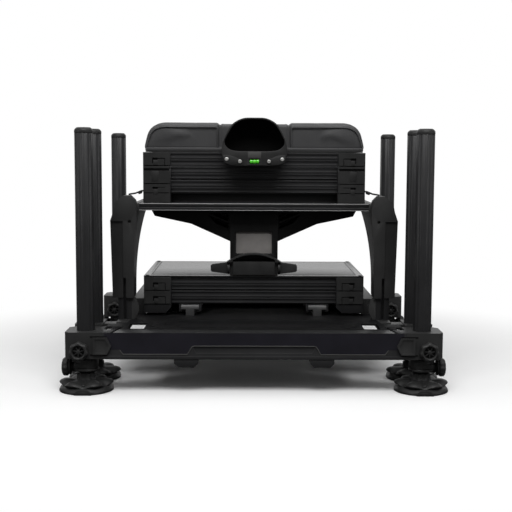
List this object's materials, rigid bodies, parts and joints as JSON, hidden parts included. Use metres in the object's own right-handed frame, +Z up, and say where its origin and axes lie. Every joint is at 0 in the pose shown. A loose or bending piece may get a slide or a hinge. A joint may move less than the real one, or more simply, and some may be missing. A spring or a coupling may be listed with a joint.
{
  "type": "fishing seat box",
  "caption": "Padded fishing seat over shallow drawers on a telescoping pedestal, with a sliding footplate, clamped adjustable legs and tilting feet.",
  "frame": {"origin": "on the ground at the middle of the object's box", "axes": "+X to the sitter's right hand as seen from the front, -Y towards the footplate, +Z up"},
  "size_m": [0.767, 0.6327, 0.538],
  "materials": {
    "black_anodised": "satin black anodised",
    "bare_alloy": "drawn",
    "cast_alloy": "black powder coat",
    "moulded_nylon": "moulded satin",
    "ribbed_case": "ribbed satin",
    "lid_panel": "smooth semi-gloss",
    "deck_panel": "satin",
    "cup_shell": "moulded satin",
    "bright_steel": "zinc plated",
    "level_fluid": "clear",
    "vinyl": "grained vinyl"
  },
  "bodies": {
    "base": {"side_frame_left": "cast_alloy", "side_frame_right": "cast_alloy", "slide_channels": "black_anodised", "uprights": "black_anodised", "lower_case": "ribbed_case", "lower_lid": "lid_panel", "column_post": "black_anodised"},
    "footplate": {"footplate_castings": "cast_alloy", "front_bar": "black_anodised", "footplate_board": "black_anodised", "footplate_slides": "bare_alloy"},
    "seat_unit": {"deck": "deck_panel", "column": "cast_alloy", "column_clamp": "cast_alloy", "arm_left": "cast_alloy", "arm_right": "cast_alloy", "arm_clips": "moulded_nylon", "upper_case": "ribbed_case", "seat_tray": "ribbed_case", "seat_hinge_pins": "bright_steel", "pole_cup": "cup_shell", "cup_screws": "bright_steel", "spirit_level": "level_fluid"},
    "clamp_handle": {"clamp_handle": "moulded_nylon"},
    "seat": {"seat_board": "moulded_nylon", "seat_cushion": "vinyl"},
    "upper_drawer_bottom": {"upper_drawer_bottom": "ribbed_case"},
    "upper_drawer_top": {"upper_drawer_top": "ribbed_case"},
    "lower_drawer_bottom": {"lower_drawer_bottom": "ribbed_case"},
    "lower_drawer_top": {"lower_drawer_top": "ribbed_case"},
    "leg_footplate_left": {"leg_footplate_left": "black_anodised"},
    "stem_footplate_left": {"stem_footplate_left": "black_anodised"},
    "foot_footplate_left": {"foot_footplate_left": "moulded_nylon"},
    "star_knob_footplate_left": {"star_knob_footplate_left": "moulded_nylon"},
    "collar_knob_footplate_left": {"collar_knob_footplate_left": "moulded_nylon"},
    "leg_footplate_right": {"leg_footplate_right": "black_anodised"},
    "stem_footplate_right": {"stem_footplate_right": "black_anodised"},
    "foot_footplate_right": {"foot_footplate_right": "moulded_nylon"},
    "star_knob_footplate_right": {"star_knob_footplate_right": "moulded_nylon"},
    "collar_knob_footplate_right": {"collar_knob_footplate_right": "moulded_nylon"},
    "leg_front_left": {"leg_front_left": "black_anodised"},
    "stem_front_left": {"stem_front_left": "black_anodised"},
    "foot_front_left": {"foot_front_left": "moulded_nylon"},
    "star_knob_front_left": {"star_knob_front_left": "moulded_nylon"},
    "collar_knob_front_left": {"collar_knob_front_left": "moulded_nylon"},
    "leg_front_right": {"leg_front_right": "black_anodised"},
    "stem_front_right": {"stem_front_right": "black_anodised"},
    "foot_front_right": {"foot_front_right": "moulded_nylon"},
    "star_knob_front_right": {"star_knob_front_right": "moulded_nylon"},
    "collar_knob_front_right": {"collar_knob_front_right": "moulded_nylon"},
    "leg_rear_left": {"leg_rear_left": "black_anodised"},
    "stem_rear_left": {"stem_rear_left": "black_anodised"},
    "foot_rear_left": {"foot_rear_left": "moulded_nylon"},
    "star_knob_rear_left": {"star_knob_rear_left": "moulded_nylon"},
    "collar_knob_rear_left": {"collar_knob_rear_left": "moulded_nylon"},
    "leg_rear_right": {"leg_rear_right": "black_anodised"},
    "stem_rear_right": {"stem_rear_right": "black_anodised"},
    "foot_rear_right": {"foot_rear_right": "moulded_nylon"},
    "star_knob_rear_right": {"star_knob_rear_right": "moulded_nylon"},
    "collar_knob_rear_right": {"collar_knob_rear_right": "moulded_nylon"}
  },
  "joints": [
    {"name": "footplate_slide", "type": "slide", "parent": "base", "child": "footplate", "axis": [0, -1, 0], "range_m": [0, 0.2]},
    {"name": "seat_lift", "type": "slide", "parent": "base", "child": "seat_unit", "axis": [0, 0, 1], "range_m": [0, 0.06]},
    {"name": "seat_open", "type": "hinge", "parent": "seat_unit", "child": "seat", "pos_m": [0, 0.2086, 0.46905], "axis": [-1, 0, 0], "range_deg": [0, 95]},
    {"name": "clamp_handle_turn", "type": "hinge", "parent": "seat_unit", "child": "clamp_handle", "pos_m": [0, -0.081, 0.222], "axis": [1, 0, 0], "range_deg": [0, 90]},
    {"name": "upper_drawer_bottom_slide", "type": "slide", "parent": "seat_unit", "child": "upper_drawer_bottom", "axis": [0, -1, 0], "range_m": [0, 0.18]},
    {"name": "upper_drawer_top_slide", "type": "slide", "parent": "seat_unit", "child": "upper_drawer_top", "axis": [0, -1, 0], "range_m": [0, 0.18]},
    {"name": "lower_drawer_bottom_slide", "type": "slide", "parent": "base", "child": "lower_drawer_bottom", "axis": [0, -1, 0], "range_m": [0, 0.18]},
    {"name": "lower_drawer_top_slide", "type": "slide", "parent": "base", "child": "lower_drawer_top", "axis": [0, -1, 0], "range_m": [0, 0.18]},
    {"name": "leg_footplate_left_slide", "type": "slide", "parent": "footplate", "child": "leg_footplate_left", "axis": [0, 0, 1], "range_m": [-0.3, 0]},
    {"name": "stem_footplate_left_slide", "type": "slide", "parent": "leg_footplate_left", "child": "stem_footplate_left", "axis": [0, 0, 1], "range_m": [-0.2, 0]},
    {"name": "foot_footplate_left_tilt", "type": "hinge", "parent": "stem_footplate_left", "child": "foot_footplate_left", "pos_m": [-0.33, -0.263, 0.028], "axis": [1, 0, 0], "range_deg": [-12, 12]},
    {"name": "star_knob_footplate_left_turn", "type": "hinge", "parent": "footplate", "child": "star_knob_footplate_left", "pos_m": [-0.3375, -0.308, 0.085], "axis": [0, -1, 0], "range_deg": [0, 360]},
    {"name": "collar_knob_footplate_left_turn", "type": "hinge", "parent": "leg_footplate_left", "child": "collar_knob_footplate_left", "pos_m": [-0.364, -0.263, 0.0465], "axis": [-1, 0, 0], "range_deg": [0, 360]},
    {"name": "leg_footplate_right_slide", "type": "slide", "parent": "footplate", "child": "leg_footplate_right", "axis": [0, 0, 1], "range_m": [-0.3, 0]},
    {"name": "stem_footplate_right_slide", "type": "slide", "parent": "leg_footplate_right", "child": "stem_footplate_right", "axis": [0, 0, 1], "range_m": [-0.2, 0]},
    {"name": "foot_footplate_right_tilt", "type": "hinge", "parent": "stem_footplate_right", "child": "foot_footplate_right", "pos_m": [0.33, -0.263, 0.028], "axis": [1, 0, 0], "range_deg": [-12, 12]},
    {"name": "star_knob_footplate_right_turn", "type": "hinge", "parent": "footplate", "child": "star_knob_footplate_right", "pos_m": [0.3375, -0.308, 0.085], "axis": [0, -1, 0], "range_deg": [0, 360]},
    {"name": "collar_knob_footplate_right_turn", "type": "hinge", "parent": "leg_footplate_right", "child": "collar_knob_footplate_right", "pos_m": [0.364, -0.263, 0.0465], "axis": [1, 0, 0], "range_deg": [0, 360]},
    {"name": "leg_front_left_slide", "type": "slide", "parent": "base", "child": "leg_front_left", "axis": [0, 0, 1], "range_m": [-0.3, 0]},
    {"name": "stem_front_left_slide", "type": "slide", "parent": "leg_front_left", "child": "stem_front_left", "axis": [0, 0, 1], "range_m": [-0.2, 0]},
    {"name": "foot_front_left_tilt", "type": "hinge", "parent": "stem_front_left", "child": "foot_front_left", "pos_m": [-0.33, -0.15, 0.028], "axis": [1, 0, 0], "range_deg": [-12, 12]},
    {"name": "star_knob_front_left_turn", "type": "hinge", "parent": "base", "child": "star_knob_front_left", "pos_m": [-0.3375, -0.195, 0.085], "axis": [0, -1, 0], "range_deg": [0, 360]},
    {"name": "collar_knob_front_left_turn", "type": "hinge", "parent": "leg_front_left", "child": "collar_knob_front_left", "pos_m": [-0.364, -0.15, 0.0465], "axis": [-1, 0, 0], "range_deg": [0, 360]},
    {"name": "leg_front_right_slide", "type": "slide", "parent": "base", "child": "leg_front_right", "axis": [0, 0, 1], "range_m": [-0.3, 0]},
    {"name": "stem_front_right_slide", "type": "slide", "parent": "leg_front_right", "child": "stem_front_right", "axis": [0, 0, 1], "range_m": [-0.2, 0]},
    {"name": "foot_front_right_tilt", "type": "hinge", "parent": "stem_front_right", "child": "foot_front_right", "pos_m": [0.33, -0.15, 0.028], "axis": [1, 0, 0], "range_deg": [-12, 12]},
    {"name": "star_knob_front_right_turn", "type": "hinge", "parent": "base", "child": "star_knob_front_right", "pos_m": [0.3375, -0.195, 0.085], "axis": [0, -1, 0], "range_deg": [0, 360]},
    {"name": "collar_knob_front_right_turn", "type": "hinge", "parent": "leg_front_right", "child": "collar_knob_front_right", "pos_m": [0.364, -0.15, 0.0465], "axis": [1, 0, 0], "range_deg": [0, 360]},
    {"name": "leg_rear_left_slide", "type": "slide", "parent": "base", "child": "leg_rear_left", "axis": [0, 0, 1], "range_m": [-0.3, 0]},
    {"name": "stem_rear_left_slide", "type": "slide", "parent": "leg_rear_left", "child": "stem_rear_left", "axis": [0, 0, 1], "range_m": [-0.2, 0]},
    {"name": "foot_rear_left_tilt", "type": "hinge", "parent": "stem_rear_left", "child": "foot_rear_left", "pos_m": [-0.33, 0.263, 0.028], "axis": [1, 0, 0], "range_deg": [-12, 12]},
    {"name": "star_knob_rear_left_turn", "type": "hinge", "parent": "base", "child": "star_knob_rear_left", "pos_m": [-0.3375, 0.218, 0.085], "axis": [0, -1, 0], "range_deg": [0, 360]},
    {"name": "collar_knob_rear_left_turn", "type": "hinge", "parent": "leg_rear_left", "child": "collar_knob_rear_left", "pos_m": [-0.364, 0.263, 0.0465], "axis": [-1, 0, 0], "range_deg": [0, 360]},
    {"name": "leg_rear_right_slide", "type": "slide", "parent": "base", "child": "leg_rear_right", "axis": [0, 0, 1], "range_m": [-0.3, 0]},
    {"name": "stem_rear_right_slide", "type": "slide", "parent": "leg_rear_right", "child": "stem_rear_right", "axis": [0, 0, 1], "range_m": [-0.2, 0]},
    {"name": "foot_rear_right_tilt", "type": "hinge", "parent": "stem_rear_right", "child": "foot_rear_right", "pos_m": [0.33, 0.263, 0.028], "axis": [1, 0, 0], "range_deg": [-12, 12]},
    {"name": "star_knob_rear_right_turn", "type": "hinge", "parent": "base", "child": "star_knob_rear_right", "pos_m": [0.3375, 0.218, 0.085], "axis": [0, -1, 0], "range_deg": [0, 360]},
    {"name": "collar_knob_rear_right_turn", "type": "hinge", "parent": "leg_rear_right", "child": "collar_knob_rear_right", "pos_m": [0.364, 0.263, 0.0465], "axis": [1, 0, 0], "range_deg": [0, 360]}
  ]
}
